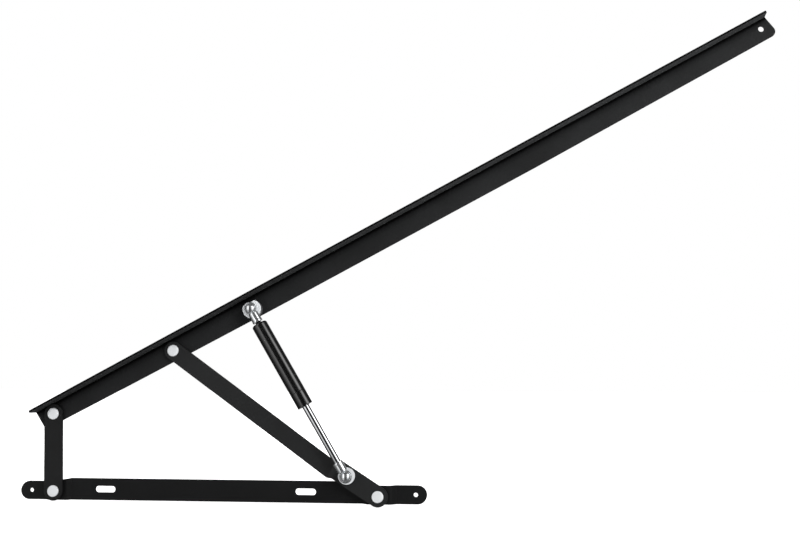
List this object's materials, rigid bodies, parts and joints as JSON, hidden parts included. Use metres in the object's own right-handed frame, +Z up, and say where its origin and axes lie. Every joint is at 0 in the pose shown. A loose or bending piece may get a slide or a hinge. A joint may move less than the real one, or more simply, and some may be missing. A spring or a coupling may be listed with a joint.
{
  "type": "bed lift mechanism",
  "caption": "Gas-sprung linkage that lifts one side of a storage bed's platform on an angle rail above a base bar.",
  "frame": {"origin": "midway between the base bar's two slots, on the face that lies on the bed's side", "axes": "+X along the base bar towards the lifting end, +Z up, +Y into the side that the bar is bolted to"},
  "size_m": [1.0638, 0.0391, 0.6834],
  "materials": {
    "black_coat": "black powder coat, fine texture, satin",
    "tube_black": "gloss black baked enamel",
    "rivet_zinc": "bright zinc plating on a turned face",
    "socket_zinc": "polished zinc plating",
    "stud_zinc": "bright zinc plating",
    "rod_chrome": "hard chrome, ground and polished",
    "washer_nylon": "black nylon, moulded",
    "nut_zinc": "bright zinc plating",
    "clip_wire": "bright spring wire",
    "plug_steel": "dark phosphated steel",
    "guide_bronze": "sintered bronze, matt",
    "seal_rubber": "oiled nitrile rubber",
    "piston_alloy": "turned aluminium",
    "ring_plastic": "filled sliding plastic"
  },
  "bodies": {
    "base": {"base_bar": "black_coat", "pivot_a_tail": "rivet_zinc", "pivot_a_washer": "washer_nylon", "pivot_d_rivet": "rivet_zinc", "pivot_d_washer": "washer_nylon"},
    "short_link": {"short_link": "black_coat", "pivot_a_rivet": "rivet_zinc"},
    "long_link": {"long_link": "black_coat", "lower_ball_stud": "stud_zinc", "lower_stud_ring": "stud_zinc", "lower_stud_nut": "nut_zinc"},
    "top_rail": {"rail_web": "black_coat", "rail_flange": "black_coat", "pivot_b_rivet": "rivet_zinc", "pivot_b_washer": "washer_nylon", "pivot_c_rivet": "rivet_zinc", "pivot_c_washer": "washer_nylon", "upper_stud_spacer": "stud_zinc", "upper_stud_bolt": "nut_zinc", "upper_stud_nut": "nut_zinc"},
    "spring_rod": {"piston_rod": "rod_chrome", "piston": "piston_alloy", "piston_ring": "ring_plastic", "lower_ball_socket": "socket_zinc", "lower_socket_clip": "clip_wire"},
    "spring_cylinder": {"cylinder_tube": "tube_black", "cylinder_end_plug": "plug_steel", "gland_cap": "tube_black", "rod_guide": "guide_bronze", "rod_seal": "seal_rubber", "upper_ball_socket": "socket_zinc", "upper_socket_clip": "clip_wire", "upper_ball": "stud_zinc"}
  },
  "joints": [
    {"name": "base_fold", "type": "hinge", "parent": "base", "child": "long_link", "pos_m": [0.244, -0.0146, -0.00425], "axis": [0, -1, 0], "range_deg": [0, 22.65], "stiffness_Nm_per_rad": 20, "springref_deg": -85.94},
    {"name": "rail_pivot", "type": "hinge", "parent": "long_link", "child": "top_rail", "pos_m": [-0.04777, -0.0116, 0.19444], "axis": [0, -1, 0], "range_deg": [-51.03, 0]},
    {"name": "short_link_pivot", "type": "hinge", "parent": "top_rail", "child": "short_link", "pos_m": [-0.21831, -0.0116, 0.10516], "axis": [0, -1, 0], "range_deg": [0, 74.38]},
    {"name": "rod_swing", "type": "hinge", "parent": "long_link", "child": "spring_rod", "pos_m": [0.2014, -0.0281, 0.0238], "axis": [0, -1, 0], "range_deg": [0, 17.3]},
    {"name": "spring_stroke", "type": "slide", "parent": "spring_rod", "child": "spring_cylinder", "axis": [0.5116, 0, -0.8593], "range_m": [0, 0.0877]}
  ],
  "couplings": [
    {"joint": "rail_pivot", "follows": "base_fold", "ratio": -2.2528},
    {"joint": "short_link_pivot", "follows": "base_fold", "ratio": 3.2839},
    {"joint": "rod_swing", "follows": "base_fold", "ratio": 0.7634},
    {"joint": "spring_stroke", "follows": "base_fold", "m_per_rad": 0.22162}
  ]
}
